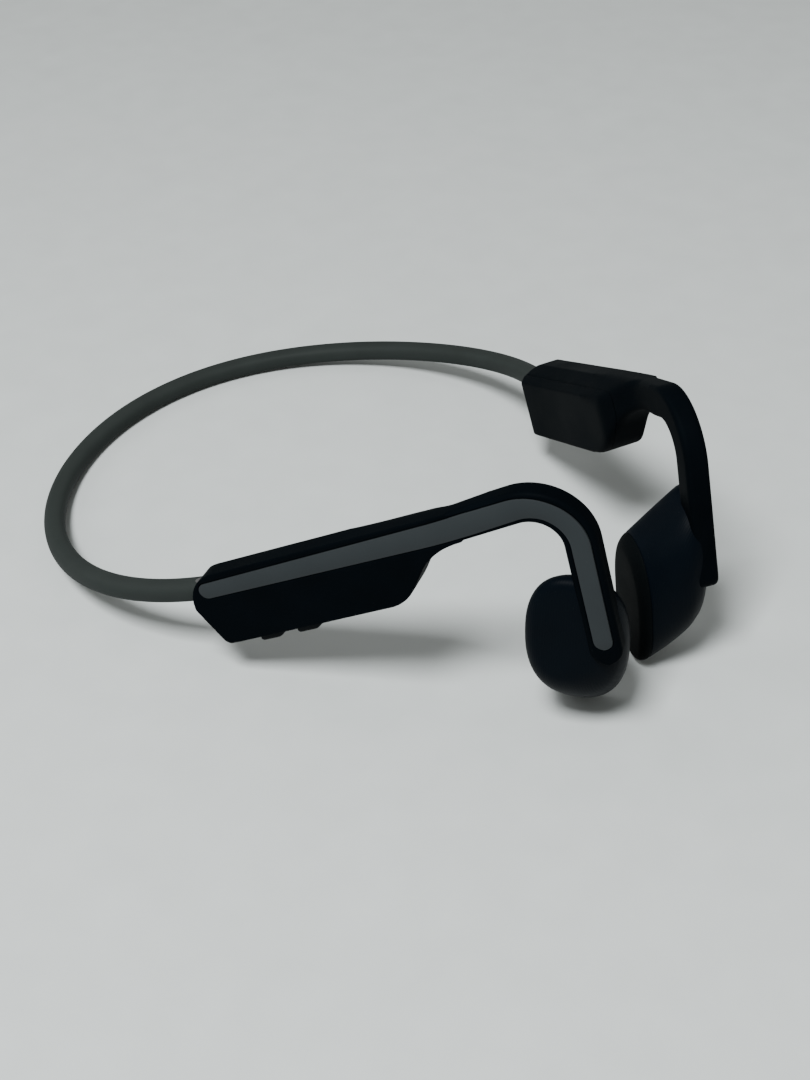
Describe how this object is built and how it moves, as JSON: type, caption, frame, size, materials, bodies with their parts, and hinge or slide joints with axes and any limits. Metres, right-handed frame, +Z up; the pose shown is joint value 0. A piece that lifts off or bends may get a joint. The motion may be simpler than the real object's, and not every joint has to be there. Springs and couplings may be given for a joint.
{
  "type": "bone conduction headphones",
  "caption": "Open-ear bone conduction headphones with a springy neckband, ear hooks, electronics housings and transducer pods that rest on the cheekbones.",
  "frame": {"origin": "centre of the base of the bounding box, on the surface that the headphones rest on", "axes": "+X to the front, towards the pods; +Y to the wearer's left; +Z up, resting on the pods and the rear of the neckband"},
  "size_m": [0.1394, 0.1006, 0.047],
  "materials": {
    "black_shell": "soft-touch satin black",
    "grey_strip": "satin dark grey",
    "sleeve": "matt grey silicone",
    "pad": "matt black silicone",
    "button": "matt black silicone",
    "seal": "matt",
    "spring_wire": "titanium wire",
    "insulation": "lead insulation",
    "collar": "matt",
    "copper": "enamelled copper",
    "steel": "plain",
    "magnet": "nickel plated",
    "board": "solder mask",
    "shield": "tinned",
    "switch": "plain",
    "gold": "gold plated",
    "light": "milky",
    "battery": "laminated pouch",
    "foam": "foam"
  },
  "bodies": {
    "neckband": {"neckband_sleeve": "sleeve", "neckband_wire": "spring_wire", "neckband_leads": "insulation"},
    "right_arm": {"right_arm_shell": "black_shell", "right_inner_cover": "black_shell", "right_strip": "grey_strip", "right_ferrule": "collar", "right_hook_wire": "spring_wire", "right_hook_leads": "insulation", "right_pod_shell": "black_shell", "right_pod_pad": "pad", "right_pod_seal": "seal", "right_voice_coil": "copper", "right_spring_plate": "steel", "main_board": "board", "radio_shield": "shield", "volume_up_switch": "switch", "volume_down_switch": "switch", "button_seal": "seal", "charge_port_frame": "switch", "charge_contacts": "gold", "charge_magnets": "magnet", "indicator_light": "light", "call_microphone": "gold", "noise_microphone": "gold"},
    "left_arm": {"left_arm_shell": "black_shell", "left_inner_cover": "black_shell", "left_strip": "grey_strip", "left_ferrule": "collar", "left_hook_wire": "spring_wire", "left_hook_leads": "insulation", "left_pod_shell": "black_shell", "left_pod_pad": "pad", "left_pod_seal": "seal", "left_voice_coil": "copper", "left_spring_plate": "steel", "battery_cell": "battery", "protection_board": "board", "battery_foam": "foam", "multifunction_switch": "switch"},
    "volume_up_button": {"volume_up_button": "button"},
    "volume_down_button": {"volume_down_button": "button"},
    "multifunction_button": {"multifunction_button": "button"},
    "right_transducer": {"right_yoke": "steel", "right_magnet": "magnet", "right_pole_plate": "steel"},
    "left_transducer": {"left_yoke": "steel", "left_magnet": "magnet", "left_pole_plate": "steel"}
  },
  "joints": [
    {"name": "right_arm_flex", "type": "hinge", "parent": "neckband", "child": "right_arm", "pos_m": [-0.0677, 0, 0.0018], "axis": [0, 0, -1], "range_deg": [0, 20], "stiffness_Nm_per_rad": 0.3, "deforming": ["neckband_sleeve", "neckband_wire", "neckband_leads"]},
    {"name": "left_arm_flex", "type": "hinge", "parent": "neckband", "child": "left_arm", "pos_m": [-0.0677, 0, 0.0018], "axis": [0, 0, 1], "range_deg": [0, 20], "stiffness_Nm_per_rad": 0.3, "deforming": ["neckband_sleeve", "neckband_wire", "neckband_leads"]},
    {"name": "volume_up_press", "type": "slide", "parent": "right_arm", "child": "volume_up_button", "axis": [-0.4257, -0.1339, 0.8949], "range_m": [0, 0.0003], "stiffness_N_per_m": 2000},
    {"name": "volume_down_press", "type": "slide", "parent": "right_arm", "child": "volume_down_button", "axis": [-0.4257, -0.1339, 0.8949], "range_m": [0, 0.0003], "stiffness_N_per_m": 2000},
    {"name": "multifunction_press", "type": "slide", "parent": "left_arm", "child": "multifunction_button", "axis": [-0.5128, -0.8565, -0.0589], "range_m": [0, 0.0003], "stiffness_N_per_m": 2000},
    {"name": "right_transducer_shake", "type": "slide", "parent": "right_arm", "child": "right_transducer", "axis": [0.5128, -0.8565, 0.0589], "range_m": [-0.0002, 0.0002], "stiffness_N_per_m": 1500, "deforming": ["right_spring_plate"]},
    {"name": "left_transducer_shake", "type": "slide", "parent": "left_arm", "child": "left_transducer", "axis": [0.5128, 0.8565, 0.0589], "range_m": [-0.0002, 0.0002], "stiffness_N_per_m": 1500, "deforming": ["left_spring_plate"]}
  ]
}
